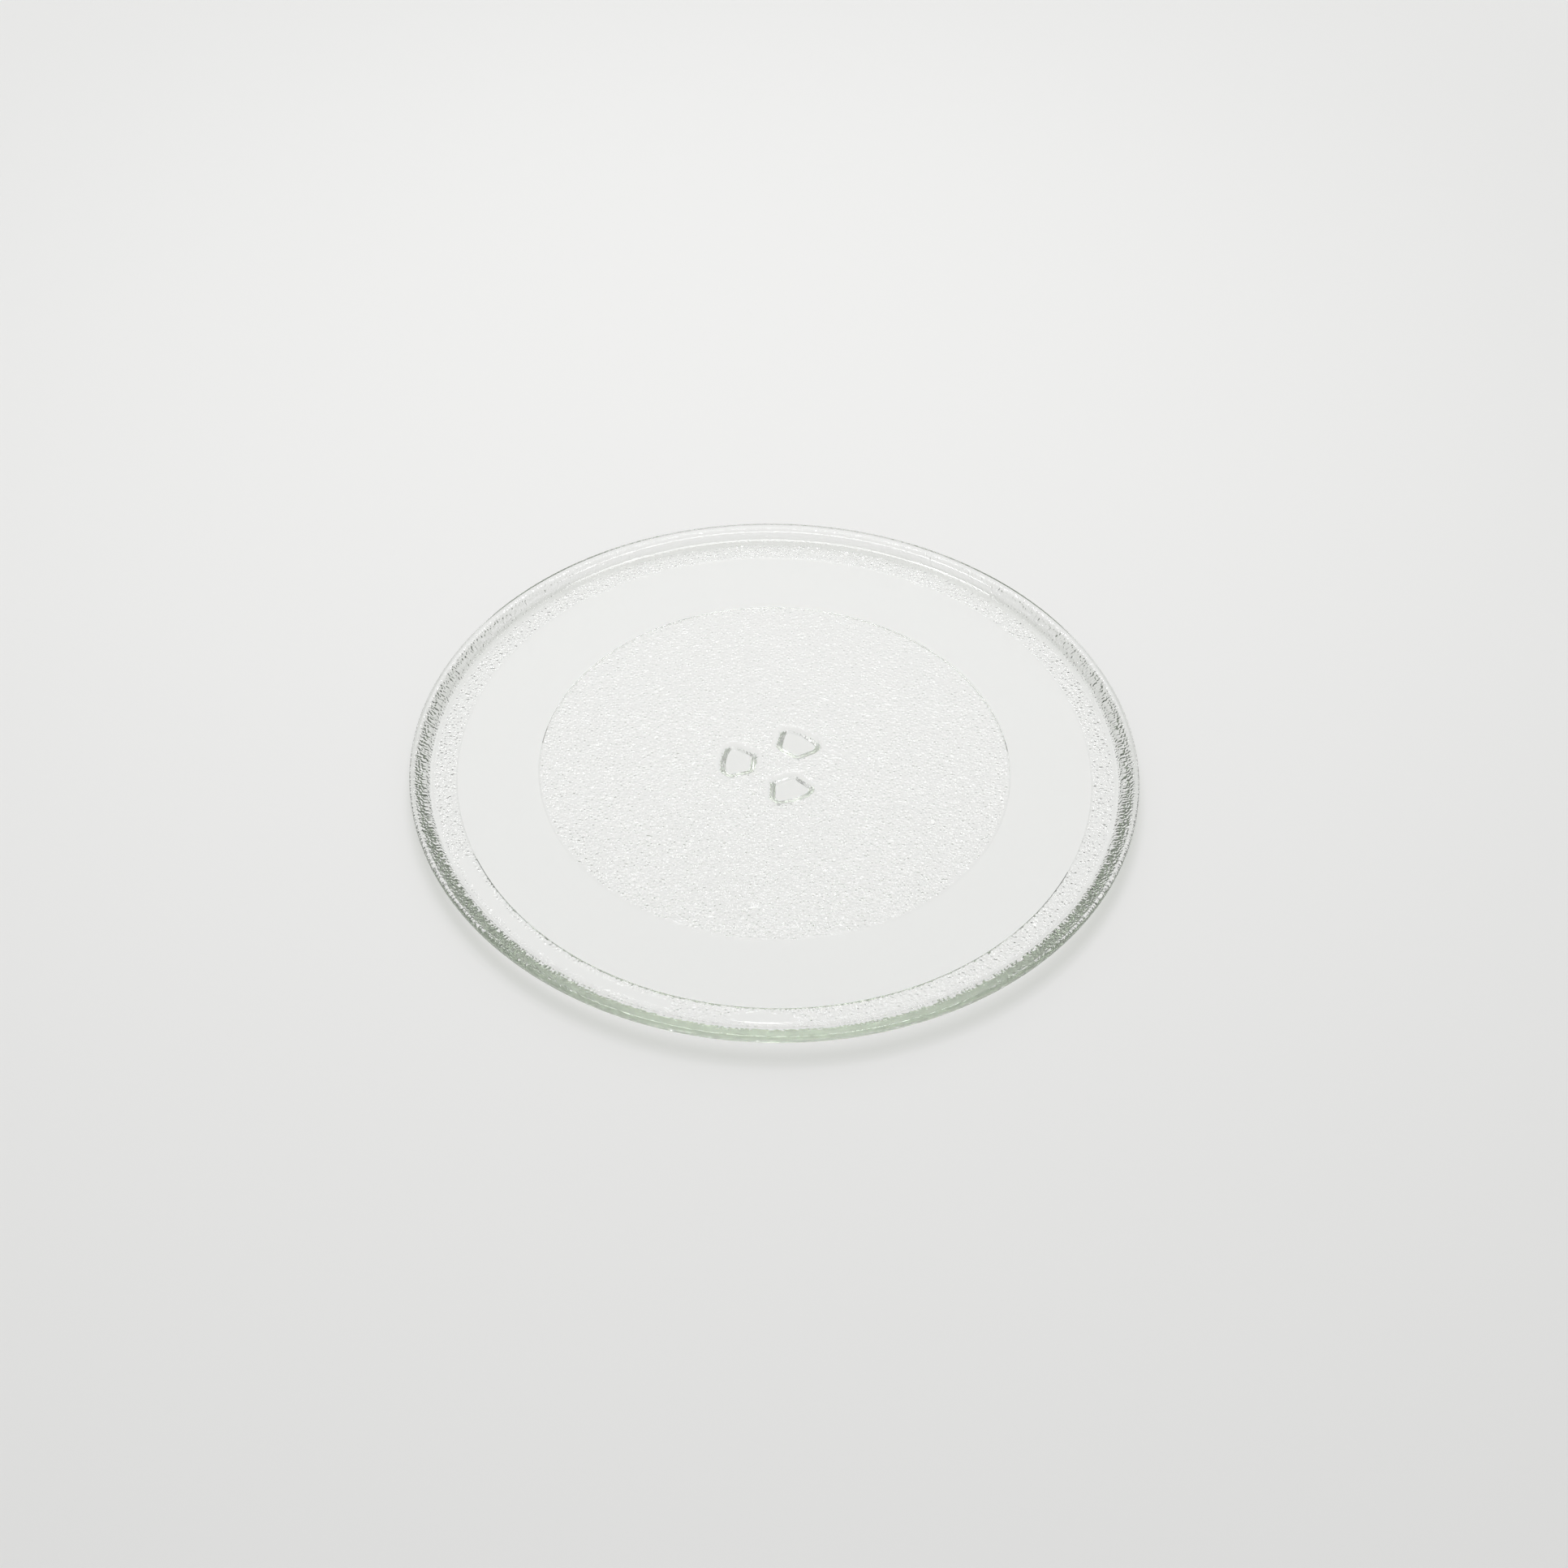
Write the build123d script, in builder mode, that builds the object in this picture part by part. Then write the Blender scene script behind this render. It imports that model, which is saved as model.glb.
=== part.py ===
from build123d import *
import os
from math import radians
from math import tan

# Disc, in millimetres
plate_diameter = 324.0
glass_thickness = 5.0

# Rim, by widths from the outside in: a sloping wall below, a thin lip that overhangs it, and above them a
# brim that falls gently inwards and then more steeply to the flat of the plate
rim_height = 8.4
lip_thickness = 3.3
lip_overhang = 2.2
lip_underside_rise = 0.4
wall_run = 5.0
brim_width = 6.6
brim_fall = 1.05
inner_slope_run = 2.7
wall_foot_chamfer = 1.6
lip_fillet = 1.25
brim_edge_chamfer = 0.6
inner_slope_fillet = 5.5

# Underside bands: the roller track stands a little proud between two stippled zones
track_outer_inset = 20.4
track_width = 36.5
track_height = 0.3
track_edge_run = 0.3

# Drive lugs under the middle of the disc
lug_count = 3
first_lug_angle = 60.0
lug_height = 3.8
lug_inner_radius = 11.2
lug_outer_radius = 21.7
lug_inner_width = 8.1
lug_side_angle = 25.0
lug_corner_radius = 1.8
lug_draft_angle = 25.0
lug_root_fillet = 3.2
lug_end_chamfer = 0.5

# Levels above the lugs' end faces, on which the plate stands
underside_z = lug_height
track_z = underside_z - track_height
top_z = underside_z + glass_thickness
rim_z = underside_z + rim_height
lip_bottom_z = rim_z - lip_thickness

# Radii that follow from the rim inwards
rim_radius = plate_diameter / 2
track_outer_radius = rim_radius - track_outer_inset
track_inner_radius = track_outer_radius - track_width
wall_top_radius = rim_radius - lip_overhang
brim_edge_radius = rim_radius - brim_width

# Corners of the rim's section
wall_foot = (wall_top_radius - wall_run, underside_z)
wall_top = (wall_top_radius, lip_bottom_z - lip_underside_rise)
lip_bottom = (rim_radius, lip_bottom_z)
lip_top = (rim_radius, rim_z)
brim_edge = (brim_edge_radius, rim_z - brim_fall)
inner_slope_foot = (brim_edge_radius - inner_slope_run, top_z)
rim_fillets = {lip_bottom: lip_fillet, lip_top: lip_fillet, inner_slope_foot: inner_slope_fillet}
rim_chamfers = {wall_foot: wall_foot_chamfer, brim_edge: brim_edge_chamfer}

# End face of one lug, on the X axis: a keystone whose outer end is an arc about the plate's axis
lug_reach = lug_outer_radius - lug_inner_radius
lug_widest = lug_inner_width / 2 + lug_reach * tan(radians(lug_side_angle))

with BuildSketch() as lug_end:
    with BuildLine():
        Polyline(
            (lug_inner_radius, -lug_inner_width / 2),
            (lug_outer_radius, -lug_widest),
            (lug_outer_radius, lug_widest),
            (lug_inner_radius, lug_inner_width / 2),
            close=True,
        )
    make_face()
    Circle(lug_outer_radius, mode=Mode.INTERSECT)
    fillet(lug_end.vertices(), lug_corner_radius)

# The whole plate, pressed in one piece of glass
with BuildPart() as plate:
    # Half section, from the axis out along the underside, round the lip and back along the top
    with BuildSketch(Plane.XZ) as half_section:
        with BuildLine():
            Polyline(
                (0, underside_z),
                (track_inner_radius, underside_z),
                (track_inner_radius + track_edge_run, track_z),
                (track_outer_radius - track_edge_run, track_z),
                (track_outer_radius, underside_z),
                wall_foot,
                wall_top,
                lip_bottom,
                lip_top,
                brim_edge,
                inner_slope_foot,
                (0, top_z),
                close=True,
            )
        make_face()
        for corner, radius in rim_fillets.items():
            fillet(half_section.vertices().sort_by_distance(corner)[0], radius)
        for corner, length in rim_chamfers.items():
            chamfer(half_section.vertices().sort_by_distance(corner)[0], length)
    revolve(axis=Axis.Z)

    # Lugs, widening from their end faces to the underside
    with BuildSketch() as lug_ends:
        with PolarLocations(0, lug_count, start_angle=first_lug_angle):
            add(lug_end.sketch)
    extrude(amount=lug_height, taper=-lug_draft_angle)
    fillet(plate.edges(Select.LAST).group_by(Axis.Z)[-1], lug_root_fillet)
    chamfer(plate.faces().group_by(Axis.Z)[0].edges(), lug_end_chamfer)

os.makedirs("parts", exist_ok=True)
plate.part.label = "turntable_plate"
export_step(plate.part, "parts/turntable_plate.step")
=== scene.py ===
from math import atan2, cos, hypot, pi, radians, sin, tan

import bpy
from mathutils import Matrix, Vector


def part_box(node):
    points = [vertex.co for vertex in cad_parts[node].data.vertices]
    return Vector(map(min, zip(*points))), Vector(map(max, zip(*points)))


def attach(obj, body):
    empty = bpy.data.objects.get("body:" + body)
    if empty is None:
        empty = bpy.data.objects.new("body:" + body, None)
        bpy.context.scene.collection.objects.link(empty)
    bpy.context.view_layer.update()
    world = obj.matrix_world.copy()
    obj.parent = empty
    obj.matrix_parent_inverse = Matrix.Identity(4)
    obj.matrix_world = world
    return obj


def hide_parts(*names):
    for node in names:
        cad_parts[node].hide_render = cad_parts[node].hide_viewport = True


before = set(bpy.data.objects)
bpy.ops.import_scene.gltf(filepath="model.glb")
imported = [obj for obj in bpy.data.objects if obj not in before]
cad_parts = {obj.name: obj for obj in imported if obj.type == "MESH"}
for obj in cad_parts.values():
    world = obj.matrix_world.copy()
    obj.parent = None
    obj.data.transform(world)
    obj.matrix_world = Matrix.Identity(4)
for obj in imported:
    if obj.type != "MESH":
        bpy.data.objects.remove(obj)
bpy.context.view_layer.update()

MM = 0.001

# Disc and roller track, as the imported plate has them
plate_low, plate_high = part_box("turntable_plate")
rim_radius = min(plate_high.x, plate_high.y, -plate_low.x, -plate_low.y)
underside = 3.8 * MM
track_level = underside - 0.3 * MM
serving_level = underside + 5.0 * MM
track_outer_radius = rim_radius - 20.4 * MM
track_inner_radius = track_outer_radius - 36.5 * MM
track_edge_run = 0.3 * MM
track_edge_margin = 0.25 * MM

# Corners of the rim's section in millimetres, from the wall's foot round the lip to the inner slope's foot:
# inset from the edge, rise above the underside and radius of the rounding
rim_corners = (
    (7.5, 0.0, 4.0),
    (2.2, 4.7, 0.8),
    (0.0, 5.1, 1.25),
    (0.0, 8.4, 1.25),
    (6.6, 7.35, 2.5),
    (9.3, 5.0, 5.5),
)
section_end_radius = rim_radius - 20.0 * MM
flat_step = 1.0 * MM

# Drive lugs, at their end faces and at their roots
lug_angles = (60, 180, 300)
lug_inner = 11.2 * MM
lug_outer = 21.7 * MM
lug_inner_width = 8.1 * MM
lug_side_angle = radians(25)
lug_corner = 1.8 * MM
lug_draft = radians(25)
lug_root_fillet = 3.2 * MM
lug_end_fillet = 0.6 * MM

# Mesh fineness; the first runs of the rim's section carry the stipple and are cut to its cells
ring_steps = 960
stipple_cell = 0.95 * MM
stippled_runs = 3
arc_step = radians(14)
least_arc_steps = 3
lug_outline_points = 96
lug_root_steps = 5
lug_end_steps = 4
lug_edge_cuts = 7
long_lug_edge = 1.5 * stipple_cell
stitch_gap = 0.6 * stipple_cell

# Stipple of the underside: its depth, where it ends, and each zone's share of it, which in the middle grows
# towards the viewer
stipple_depth = 0.06 * MM
stipple_pitch = 1.0 * MM
stipple_fade = 0.5 * MM
stipple_end_radius = rim_radius - 1.6 * MM
smooth_ring_radius = rim_radius - 9.0 * MM
smooth_ring_width = 2.4 * MM
upper_side_level = serving_level - 0.1 * MM
lug_side_level = underside - 0.01 * MM
lug_stipple_low = 0.5 * MM
lug_stipple_fade = 1.0 * MM
lug_stipple = 0.5
middle_stipple = 0.88
middle_stipple_lean = 0.24
band_stipple = 1.1
wall_stipple = 1.4

# Camera, aimed near the plate's middle
camera_turn = radians(5.8)
camera_swing = radians(-0.319)
camera_elevation = radians(45.333)
camera_roll = radians(1.373)
camera_aim = Vector((4.23, -13.30, 6.34)) * MM
camera_distance = 1.0798
camera_lens = 55.9
camera_sensor = 36

# Plain patches in the stipple of the outer band
panel_radius = 146.5 * MM
panel_width = 4.8 * MM
panel_angle = radians(229.5) + camera_turn
panel_turn = radians(49)
oval_radius = 147.0 * MM
oval_length = 27.0 * MM
oval_width = 7.0 * MM
oval_angle = radians(269) + camera_turn

# Glass; near the rim, painted shadow: the light let through is tinted darker there, standing in for the
# rim's shadow on the floor
glass_index = 1.52
glass_tint = (0.48, 0.565, 0.425, 1)
glass_tint_density = 5.7
pebble_scale = 900.0
pebble_middle = 0.5
pebble_relief = 0.36 * MM
# Painted shadow: tint of the light let through the rim, which darkens the floor beneath and beside it
painted_shadow_tint = (0.82, 0.83, 0.81, 1)
# Where the painted rim shadow starts and how far it runs to reach full strength
painted_shadow_start = rim_radius - 6.5 * MM
painted_shadow_fade = 3.0 * MM

# Floor and room; heights in the room are shares of straight up
floor_size = 12.0
floor_gap = 0.2 * MM
floor_colour = (0.86, 0.86, 0.85, 1)
floor_roughness = 0.8
floor_gloss = 0.2
far_floor_colour = (0.83, 0.83, 0.82, 1)
far_floor_reach = (0.5, 1.25)
room_glow = 0.26
sky_height = (0.1, 0.8)
sky_glow = (0.3, 0.5)
haze_height = (0.06, 0.2)
haze_glow = (0.53, 0.0)

# Lamps: degrees round from the camera's right, degrees up, metres away, width and height, glow, whether
# reflections show it and whether it shows through the glass
lamps = (
    ("back panel", 90, 42, 1.75, (2.4, 1.0), 0.64, True, True),
    ("wide lamp", 270, 80, 1.8, (1.4, 1.2), 1.05, False, True),
    ("overhead lamp", 120, 82, 1.7, (0.7, 0.7), 4.3, False, False),
    ("soft lamp", 90, 64, 1.8, (0.5, 0.28), 8.5, True, True),
    ("high lamp", 90, 74, 1.8, (0.5, 0.26), 4.0, True, True),
    ("left lamp", 122, 67, 1.8, (0.16, 0.22), 22.0, True, True),
    ("right lamp", 60, 67, 1.8, (0.16, 0.22), 12.0, True, True),
)

# How often light is followed on through the glass and off the floor
glass_bounces = 24
floor_bounces = 3


def deselect_all():
    """Leaves edit mode with nothing selected."""
    if bpy.context.object and bpy.context.object.mode != "OBJECT":
        bpy.ops.object.mode_set(mode="OBJECT")
    bpy.ops.object.select_all(action="DESELECT")


def pick_vertices(piece, test):
    """Goes into edit mode with the vertices selected whose place passes the test."""
    bpy.ops.object.mode_set(mode="EDIT")
    bpy.ops.mesh.select_mode(type="VERT")
    bpy.ops.mesh.select_all(action="DESELECT")
    bpy.ops.object.mode_set(mode="OBJECT")
    for vertex in piece.data.vertices:
        vertex.select = test(vertex.co)
    bpy.ops.object.mode_set(mode="EDIT")


def round_corner(before, corner, after, radius):
    """Points of the arc that rounds a corner of the section, from one side to the other."""
    arrive = (corner - before).normalized()
    leave = (after - corner).normalized()
    turn = arrive.angle_signed(leave)
    back = radius * abs(tan(turn / 2))
    steps = max(least_arc_steps, round(abs(turn) / arc_step), round(radius * abs(turn) / stipple_cell))
    side = 1 if turn > 0 else -1
    start = corner - arrive * back
    inward = Vector((arrive.y, -arrive.x)) * side
    centre = start + inward * radius
    points = []
    for k in range(steps + 1):
        spoke = Matrix.Rotation(-turn * k / steps, 2) @ (start - centre)
        points.append(centre + spoke)
    return points


def plate_section():
    """Section of the plate from the track's inner edge out, round the lip and in along the top."""
    track_start = track_inner_radius + track_edge_run
    track_end = track_outer_radius - track_edge_run
    points = [
        Vector((track_start, track_level)),
        Vector((track_start + track_edge_margin, track_level)),
        Vector((track_end - track_edge_margin, track_level)),
        Vector((track_end, track_level)),
        Vector((track_outer_radius, underside)),
    ]
    corners = [points[-1]]
    roundings = []
    for inset, rise, radius in rim_corners:
        corners.append(Vector((rim_radius - inset * MM, underside + rise * MM)))
        roundings.append(radius * MM)
    corners.append(Vector((section_end_radius, serving_level)))
    for number, rounding in enumerate(roundings):
        before, corner, after = corners[number : number + 3]
        arc = round_corner(before, corner, after, rounding)
        start = points[-1]
        run = arc[0] - start
        cuts = max(1, round(run.length / stipple_cell)) if number < stippled_runs else 1
        points += [start + run * k / cuts for k in range(1, cuts + 1)]
        points += arc[1:]
    points.append(points[-1] - Vector((flat_step, 0)))
    return points


def make_outer_plate():
    """Ring of the track, band, rim and top, drawn out ring by ring from the track's inner edge."""
    deselect_all()
    bpy.ops.mesh.primitive_circle_add(
        vertices=ring_steps, radius=track_inner_radius, location=(0, 0, underside)
    )
    bpy.ops.object.transform_apply()
    bpy.ops.object.mode_set(mode="EDIT")
    bpy.ops.mesh.select_all(action="SELECT")
    radius, level = track_inner_radius, underside
    for point in plate_section():
        bpy.ops.mesh.extrude_region_move(TRANSFORM_OT_translate={"value": (0, 0, point.y - level)})
        share = point.x / radius
        bpy.ops.transform.resize(value=(share, share, 1), center_override=(0, 0, 0))
        radius, level = point
    bpy.ops.mesh.edge_face_add()
    bpy.ops.object.mode_set(mode="OBJECT")
    return bpy.context.object


def lug_offset(place, angle):
    """Distance of a point of the underside from a lug's end outline, less than zero inside it."""
    turned = Matrix.Rotation(-radians(angle), 2) @ Vector((place.x, place.y))
    side = abs(turned.y) - lug_inner_width / 2 - (turned.x - lug_inner) * tan(lug_side_angle)
    return max(lug_inner - turned.x, turned.length - lug_outer, side * cos(lug_side_angle))


def lug_steps():
    """Steps from a lug's root to its end face: how far in and how far down each goes."""
    points = [Vector((0, 0))]
    lean = pi / 2 - lug_draft
    for k in range(1, lug_root_steps + 1):
        turn = lean * k / lug_root_steps
        points.append(Vector((lug_root_fillet * sin(turn), lug_root_fillet * (1 - cos(turn)))))
    wall_end = underside - lug_end_fillet * (1 - cos(lean))
    run = (wall_end - points[-1].y) * tan(lug_draft)
    start = Vector((points[-1].x + run, wall_end))
    points.append(start)
    for k in range(1, lug_end_steps + 1):
        turn = lean * (1 - k / lug_end_steps)
        points.append(start + lug_end_fillet * Vector((sin(lean) - sin(turn), cos(turn) - cos(lean))))
    return points


def lug_outline(spread):
    """Outline of a lug on the X axis, spread out from its end face: four round corners and an outer arc."""
    slope = tan(lug_side_angle)
    inset_width = lug_inner_width / 2 - lug_corner / cos(lug_side_angle)
    near = Vector((lug_inner + lug_corner, inset_width + lug_corner * slope))
    along = Vector((cos(lug_side_angle), sin(lug_side_angle)))
    arc_radius = lug_outer - lug_corner
    across = near.dot(along)
    far = near + along * (-across + (across**2 + arc_radius**2 - near.length_squared) ** 0.5)
    corners = [Vector((c.x, sign * c.y)) for c in (near, far) for sign in (1, -1)]
    arc_turn = atan2(far.y, far.x)
    points = []
    for k in range(lug_outline_points):
        turn = 2 * pi * k / lug_outline_points
        facing = Vector((cos(turn), sin(turn)))
        if abs(atan2(facing.y, facing.x)) <= arc_turn:
            points.append(facing * (lug_outer + spread))
        else:
            corner = max(corners, key=facing.dot)
            points.append(corner + facing * (lug_corner + spread))
    return points


def make_lug(angle):
    """One drive lug: a disc pressed to the root outline, then drawn in and down to the end face."""
    steps = lug_steps()
    deselect_all()
    bpy.ops.mesh.primitive_circle_add(vertices=lug_outline_points, fill_type="NGON")
    lug = bpy.context.object
    for vertex, point in zip(lug.data.vertices, lug_outline(steps[-1].x)):
        vertex.co = (point.x, point.y, underside)
    bpy.ops.object.mode_set(mode="EDIT")
    bpy.ops.mesh.select_mode(type="EDGE")
    bpy.ops.mesh.select_all(action="DESELECT")
    bpy.ops.object.mode_set(mode="OBJECT")
    for edge in lug.data.edges:
        start, end = (lug.data.vertices[v].co for v in edge.vertices)
        edge.select = (start - end).length > long_lug_edge
    bpy.ops.object.mode_set(mode="EDIT")
    bpy.ops.mesh.subdivide(number_cuts=lug_edge_cuts)
    bpy.ops.mesh.select_mode(type="FACE")
    bpy.ops.mesh.select_all(action="SELECT")
    for before, after in zip(steps, steps[1:]):
        step = after - before
        bpy.ops.mesh.inset(thickness=step.x, depth=-step.y)
    bpy.ops.object.mode_set(mode="OBJECT")
    lug.rotation_euler.z = radians(angle)
    bpy.ops.object.transform_apply()
    return lug


def make_middle():
    """Stippled middle of the underside: a grid trimmed to the track's edge, open where the lugs stand."""
    cells = round(2 * track_inner_radius / stipple_cell)
    deselect_all()
    bpy.ops.mesh.primitive_grid_add(
        x_subdivisions=cells, y_subdivisions=cells, size=2 * track_inner_radius, location=(0, 0, underside)
    )
    bpy.ops.object.transform_apply()
    middle = bpy.context.object
    lug_clearance = lug_steps()[-1].x + stitch_gap
    grid_reach = track_inner_radius - stitch_gap

    def trimmed(place):
        if hypot(place.x, place.y) > grid_reach:
            return True
        return any(lug_offset(place, angle) < lug_clearance for angle in lug_angles)

    pick_vertices(middle, trimmed)
    bpy.ops.mesh.delete(type="VERT")
    bpy.ops.object.mode_set(mode="OBJECT")
    return middle


def stitch_plate():
    """Joins the ring, the middle and the lugs into one closed skin of glass."""
    plate = make_outer_plate()
    pieces = [make_lug(angle) for angle in lug_angles] + [make_middle(), plate]
    deselect_all()
    for piece in pieces:
        piece.select_set(True)
    bpy.context.view_layer.objects.active = plate
    bpy.ops.object.join()
    bpy.ops.object.mode_set(mode="EDIT")
    bpy.ops.mesh.select_mode(type="EDGE")
    bpy.ops.mesh.select_all(action="DESELECT")
    bpy.ops.mesh.select_non_manifold()
    bpy.ops.mesh.fill(use_beauty=True)
    bpy.ops.mesh.select_all(action="SELECT")
    bpy.ops.mesh.normals_make_consistent(inside=False)
    bpy.ops.object.mode_set(mode="OBJECT")
    plate.name = "glass_plate"
    return plate


def fade_in(distance, run):
    """0 up to an edge, then rising to 1 over the run past it."""
    return min(1.0, max(0.0, distance / run))


def outside_patches(place):
    """0 inside the two plain patches of the outer band, 1 outside them."""
    angle = atan2(place.y, place.x) % (2 * pi)
    reach = hypot(place.x, place.y)
    across = abs(reach - panel_radius) - panel_width / 2
    along = (abs(angle - panel_angle) - panel_turn / 2) * panel_radius
    panel = max(across, along)
    oval_along = (angle - oval_angle) * panel_radius / (oval_length / 2)
    oval_across = (reach - oval_radius) / (oval_width / 2)
    oval = (hypot(oval_along, oval_across) - 1) * oval_width / 2
    return fade_in(min(panel, oval), stipple_fade)


def stipple_share(place, lug_spread):
    """Share of the stipple's depth at a point of the glass, 0 where the glass is smooth."""
    reach = hypot(place.x, place.y)
    if place.z > upper_side_level:
        return 0.0
    if reach >= track_inner_radius:
        zone_edge = min(reach - track_outer_radius, stipple_end_radius - reach)
        ring_edge = abs(reach - smooth_ring_radius) - smooth_ring_width / 2
        zone_stipple = band_stipple if reach < smooth_ring_radius else wall_stipple
        return zone_stipple * fade_in(min(zone_edge, ring_edge), stipple_fade) * outside_patches(place)
    if place.z < lug_side_level:
        return lug_stipple * fade_in(place.z - lug_stipple_low, lug_stipple_fade)
    nearest_lug = min(lug_offset(place, angle) for angle in lug_angles) - lug_spread
    pressed = middle_stipple - middle_stipple_lean * place.y / track_inner_radius
    return pressed * fade_in(min(nearest_lug, track_inner_radius - reach), stipple_fade)


def painted_shadow_share(place):
    """How strong the painted rim shadow is at a point: 0 on the flat, 1 at the edge."""
    return fade_in(hypot(place.x, place.y) - painted_shadow_start, painted_shadow_fade)


def press_stipple(plate):
    """Presses the pebbly grain into the underside, and notes on the mesh where it lies and where the painted
    rim shadow falls.
    """
    lug_spread = lug_steps()[-1].x
    shares = [stipple_share(vertex.co, lug_spread) for vertex in plate.data.vertices]
    # Strength of the painted rim shadow at each vertex, kept as a note for the glass's shadow tint
    painted_shadow_values = [painted_shadow_share(vertex.co) for vertex in plate.data.vertices]
    group = plate.vertex_groups.new(name="stipple")
    for index, share in enumerate(shares):
        if share > 0:
            group.add([index], share, "REPLACE")
    share_note = plate.data.attributes.new("stipple_share", "FLOAT", "POINT")
    share_note.data.foreach_set("value", shares)
    painted_shadow_note = plate.data.attributes.new("painted_shadow_mask", "FLOAT", "POINT")
    painted_shadow_note.data.foreach_set("value", painted_shadow_values)
    grain = bpy.data.textures.new("pebble_grain", "CLOUDS")
    grain.noise_scale = stipple_pitch
    grain.noise_depth = 0
    press = plate.modifiers.new("stipple", "DISPLACE")
    press.texture = grain
    press.texture_coords = "LOCAL"
    press.vertex_group = "stipple"
    press.mid_level = pebble_middle
    press.strength = stipple_depth
    bpy.context.view_layer.objects.active = plate
    bpy.ops.object.modifier_apply(modifier=press.name)
    bpy.ops.object.shade_smooth()


def add_math(nodes, operation):
    """A Math node set to one operation."""
    node = nodes.new("ShaderNodeMath")
    node.operation = operation
    return node


def add_range(nodes, start_and_end, low_and_high, curve):
    """A Map Range node from one pair of values to another."""
    node = nodes.new("ShaderNodeMapRange")
    node.interpolation_type = curve
    node.inputs["From Min"].default_value = start_and_end[0]
    node.inputs["From Max"].default_value = start_and_end[1]
    node.inputs["To Min"].default_value = low_and_high[0]
    node.inputs["To Max"].default_value = low_and_high[1]
    return node


def add_note(nodes, name):
    """A node that reads one of the plate's own notes."""
    node = nodes.new("ShaderNodeAttribute")
    node.attribute_name = name
    return node


def pebble_normal(nodes, links):
    """Socket with the normal of the pebbly grain, as strong as the stipple is at each point."""
    place = nodes.new("ShaderNodeTexCoord")
    pebbles = nodes.new("ShaderNodeTexNoise")
    pebbles.inputs["Scale"].default_value = pebble_scale
    pebbles.inputs["Detail"].default_value = 0.0
    swing = add_math(nodes, "SUBTRACT")
    swing.inputs[1].default_value = pebble_middle
    height = add_math(nodes, "MULTIPLY")
    relief = nodes.new("ShaderNodeBump")
    relief.inputs["Distance"].default_value = pebble_relief
    links.new(place.outputs["Object"], pebbles.inputs["Vector"])
    links.new(pebbles.outputs["Fac"], swing.inputs[0])
    links.new(swing.outputs["Value"], height.inputs[0])
    links.new(add_note(nodes, "stipple_share").outputs["Fac"], height.inputs[1])
    links.new(height.outputs["Value"], relief.inputs["Height"])
    return relief.outputs["Normal"]


def glass_material():
    """Clear soda-lime glass with a faint green depth, which lets the lamps light the floor beneath, with a
    painted shadow near the rim.
    """
    material = bpy.data.materials.new("clear_glass")
    material.use_nodes = True
    nodes, links = material.node_tree.nodes, material.node_tree.links
    output = nodes["Material Output"]
    shader = nodes["Principled BSDF"]
    shader.inputs["Base Color"].default_value = (1, 1, 1, 1)
    shader.inputs["Roughness"].default_value = 0.0
    shader.inputs["IOR"].default_value = glass_index
    shader.inputs["Transmission Weight"].default_value = 1.0
    links.new(pebble_normal(nodes, links), shader.inputs["Normal"])
    depth = nodes.new("ShaderNodeVolumeAbsorption")
    depth.inputs["Color"].default_value = glass_tint
    depth.inputs["Density"].default_value = glass_tint_density
    # Painted shadow: light let through the glass is tinted darker where the rim note says so, standing in
    # for the rim's cast shadow
    shade = nodes.new("ShaderNodeValToRGB")
    shade.color_ramp.elements[0].color = (1, 1, 1, 1)
    shade.color_ramp.elements[1].color = painted_shadow_tint
    through = nodes.new("ShaderNodeBsdfTransparent")
    ray = nodes.new("ShaderNodeLightPath")
    plain_light = add_math(nodes, "MAXIMUM")
    mix = nodes.new("ShaderNodeMixShader")
    links.new(add_note(nodes, "painted_shadow_mask").outputs["Fac"], shade.inputs["Fac"])
    links.new(shade.outputs["Color"], through.inputs["Color"])
    links.new(ray.outputs["Is Shadow Ray"], plain_light.inputs[0])
    links.new(ray.outputs["Is Diffuse Ray"], plain_light.inputs[1])
    links.new(plain_light.outputs["Value"], mix.inputs["Fac"])
    links.new(shader.outputs["BSDF"], mix.inputs[1])
    links.new(through.outputs["BSDF"], mix.inputs[2])
    links.new(mix.outputs["Shader"], output.inputs["Surface"])
    links.new(depth.outputs["Volume"], output.inputs["Volume"])
    return material


def seen_rays(nodes, links):
    """Socket that is 1 for what is seen straight, mirrored or through glass, and 0 for plain light."""
    ray = nodes.new("ShaderNodeLightPath")
    straight_or_mirrored = add_math(nodes, "MAXIMUM")
    seen = add_math(nodes, "MAXIMUM")
    links.new(ray.outputs["Is Camera Ray"], straight_or_mirrored.inputs[0])
    links.new(ray.outputs["Is Glossy Ray"], straight_or_mirrored.inputs[1])
    links.new(straight_or_mirrored.outputs["Value"], seen.inputs[0])
    links.new(ray.outputs["Is Transmission Ray"], seen.inputs[1])
    return seen.outputs["Value"]


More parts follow.
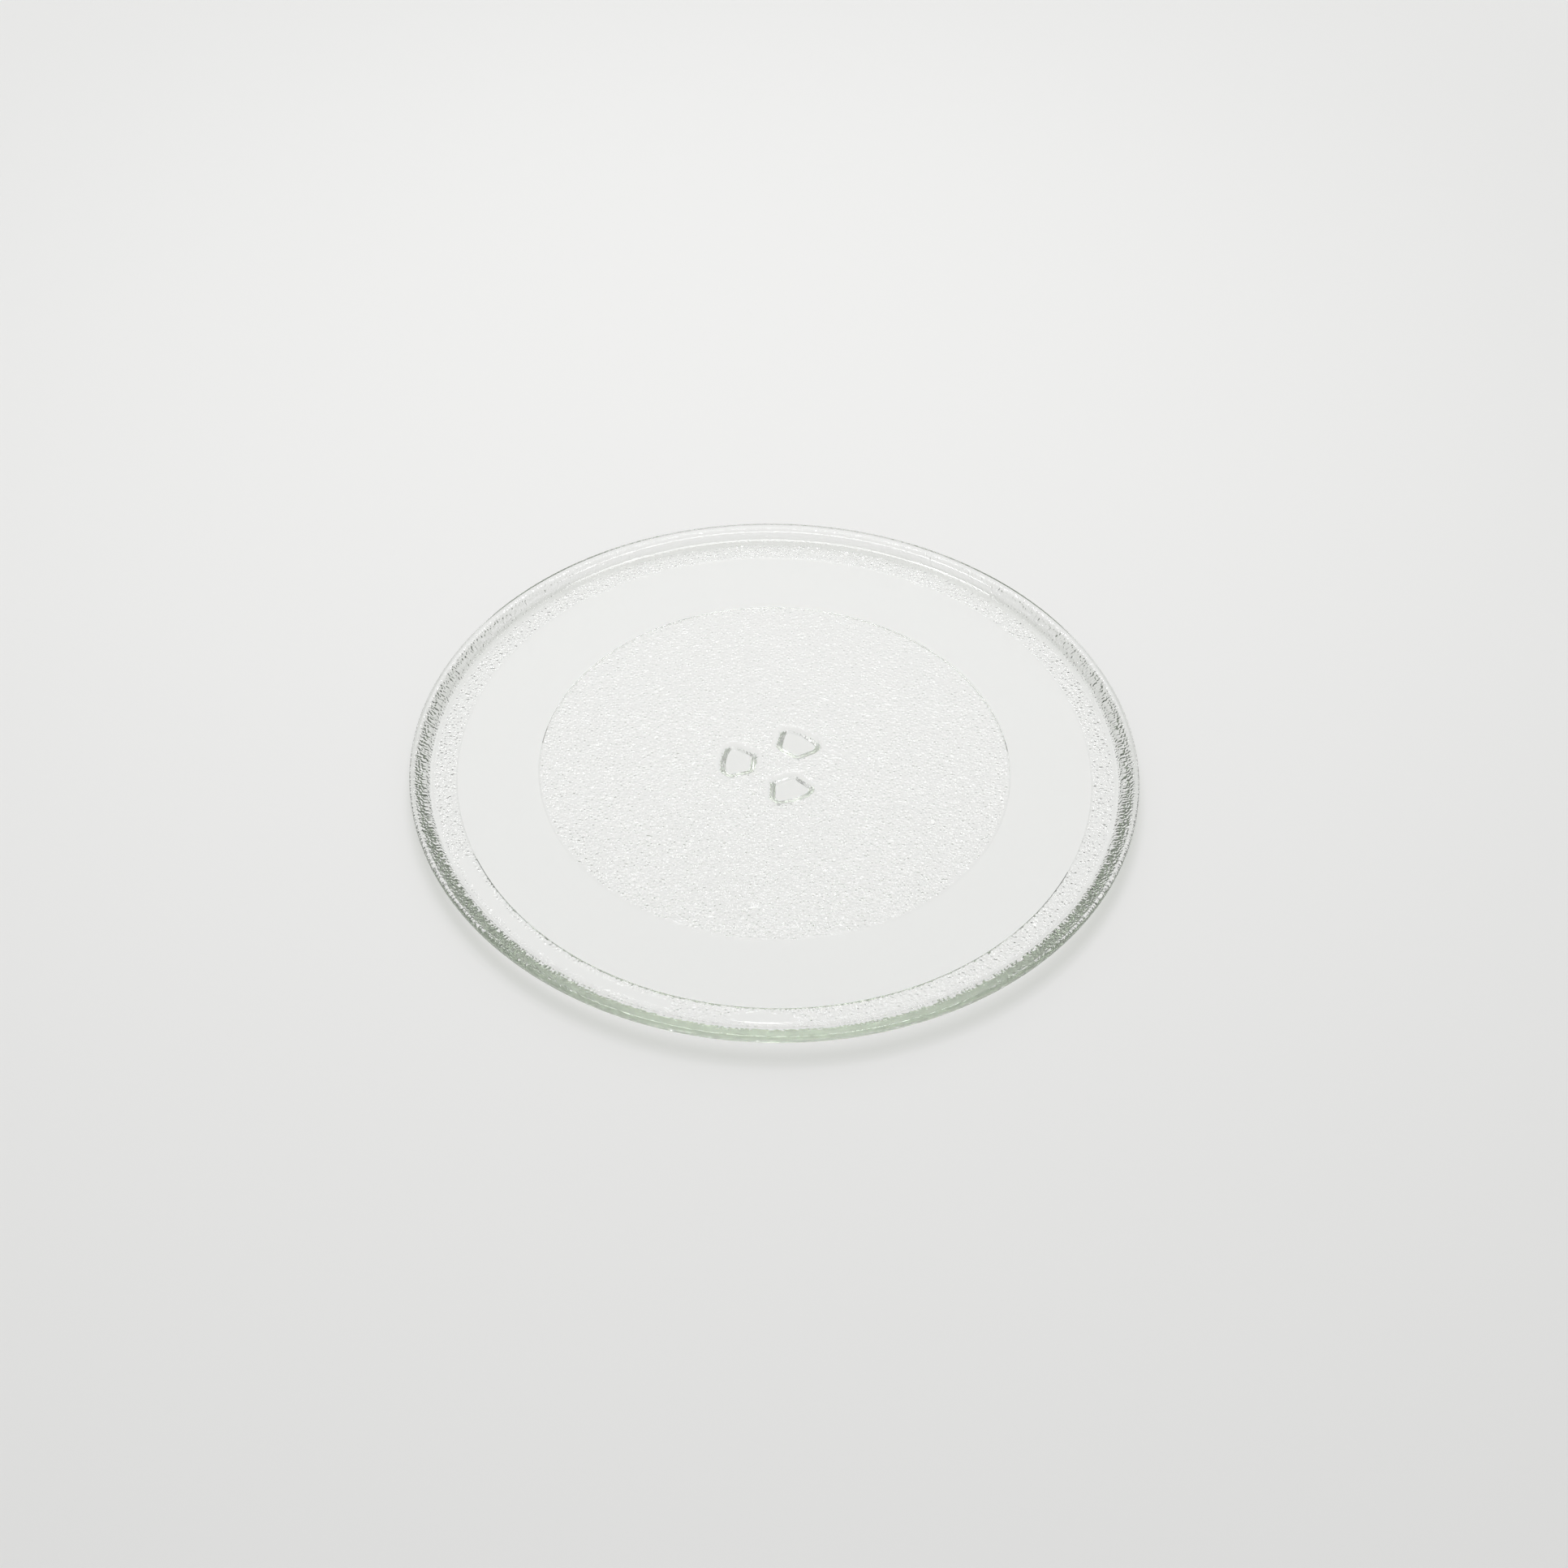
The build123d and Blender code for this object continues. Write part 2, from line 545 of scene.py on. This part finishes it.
def floor_material():
    """Matt pale floor that goes over to an even pale tone far from the plate, where it is seen."""
    material = bpy.data.materials.new("pale_floor")
    material.use_nodes = True
    nodes, links = material.node_tree.nodes, material.node_tree.links
    shader = nodes["Principled BSDF"]
    shader.inputs["Base Color"].default_value = floor_colour
    shader.inputs["Roughness"].default_value = floor_roughness
    shader.inputs["Specular IOR Level"].default_value = floor_gloss
    far = nodes.new("ShaderNodeEmission")
    far.inputs["Color"].default_value = far_floor_colour
    place = nodes.new("ShaderNodeTexCoord")
    reach = nodes.new("ShaderNodeVectorMath")
    reach.operation = "LENGTH"
    fade = add_range(nodes, far_floor_reach, (0, 1), "SMOOTHSTEP")
    share = add_math(nodes, "MULTIPLY")
    mix = nodes.new("ShaderNodeMixShader")
    links.new(place.outputs["Object"], reach.inputs[0])
    links.new(reach.outputs["Value"], fade.inputs["Value"])
    links.new(fade.outputs["Result"], share.inputs[0])
    links.new(seen_rays(nodes, links), share.inputs[1])
    links.new(share.outputs["Value"], mix.inputs["Fac"])
    links.new(shader.outputs["BSDF"], mix.inputs[1])
    links.new(far.outputs["Emission"], mix.inputs[2])
    links.new(mix.outputs["Shader"], nodes["Material Output"].inputs["Surface"])
    return material


def make_floor():
    """Wide plain floor, just under the lugs' end faces."""
    deselect_all()
    bpy.ops.mesh.primitive_plane_add(size=floor_size, location=(0, 0, -floor_gap))
    floor = bpy.context.object
    floor.name = "floor"
    floor.data.materials.append(floor_material())


def make_room():
    """Even light from all round, with a paler sky and horizon where the room itself is seen."""
    world = bpy.data.worlds.new("studio")
    bpy.context.scene.world = world
    world.use_nodes = True
    nodes, links = world.node_tree.nodes, world.node_tree.links
    background = nodes["Background"]
    background.inputs["Color"].default_value = (1, 1, 1, 1)
    place = nodes.new("ShaderNodeTexCoord")
    split = nodes.new("ShaderNodeSeparateXYZ")
    sky = add_range(nodes, sky_height, sky_glow, "LINEAR")
    haze = add_range(nodes, haze_height, haze_glow, "SMOOTHSTEP")
    seen_glow = add_math(nodes, "ADD")
    level = add_range(nodes, (0, 1), (room_glow, 1), "LINEAR")
    links.new(place.outputs["Generated"], split.inputs["Vector"])
    links.new(split.outputs["Z"], sky.inputs["Value"])
    links.new(split.outputs["Z"], haze.inputs["Value"])
    links.new(sky.outputs["Result"], seen_glow.inputs[0])
    links.new(haze.outputs["Result"], seen_glow.inputs[1])
    links.new(seen_glow.outputs["Value"], level.inputs["To Max"])
    links.new(seen_rays(nodes, links), level.inputs["Value"])
    links.new(level.outputs["Result"], background.inputs["Strength"])


def make_lamp(name, azimuth, elevation, distance, size, glow, in_reflections, through_glass):
    """A soft lamp aimed at the plate; its glow is its brightness, whatever its size."""
    data = bpy.data.lights.new(name, "AREA")
    data.shape = "RECTANGLE"
    data.size, data.size_y = size
    data.energy = glow * pi * size[0] * size[1]
    lamp = bpy.data.objects.new(name, data)
    bpy.context.scene.collection.objects.link(lamp)
    around, up = radians(azimuth) + camera_turn, radians(elevation)
    way = Vector((cos(up) * cos(around), cos(up) * sin(around), sin(up)))
    lamp.location = way * distance
    lamp.rotation_euler = (-way).to_track_quat("-Z", "Y").to_euler()
    lamp.visible_glossy = in_reflections
    lamp.visible_transmission = through_glass


def make_camera():
    """Camera at the photograph's viewing angle."""
    data = bpy.data.cameras.new("camera")
    data.sensor_width = camera_sensor
    data.lens = camera_lens
    camera = bpy.data.objects.new("camera", data)
    bpy.context.scene.collection.objects.link(camera)
    aim = Matrix.Rotation(camera_turn, 3, "Z") @ camera_aim
    tilt = Matrix.Rotation(pi / 2 - camera_elevation, 4, "X")
    turn = Matrix.Rotation(camera_turn + camera_swing, 4, "Z") @ tilt
    away = turn.to_3x3() @ Vector((0, 0, camera_distance))
    camera.matrix_world = Matrix.Translation(aim + away) @ turn @ Matrix.Rotation(camera_roll, 4, "Z")
    bpy.context.scene.camera = camera


plate = stitch_plate()
press_stipple(plate)
plate.data.materials.clear()
plate.data.materials.append(glass_material())
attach(plate, "root")
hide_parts("turntable_plate")

make_floor()
make_room()
for lamp in lamps:
    make_lamp(*lamp)
make_camera()

bpy.context.scene.view_settings.view_transform = "Standard"
cycles = bpy.context.scene.cycles
cycles.max_bounces = glass_bounces
cycles.transmission_bounces = glass_bounces
cycles.glossy_bounces = glass_bounces
cycles.diffuse_bounces = floor_bounces
cycles.blur_glossy = 0.0
cycles.sample_clamp_indirect = 0.0
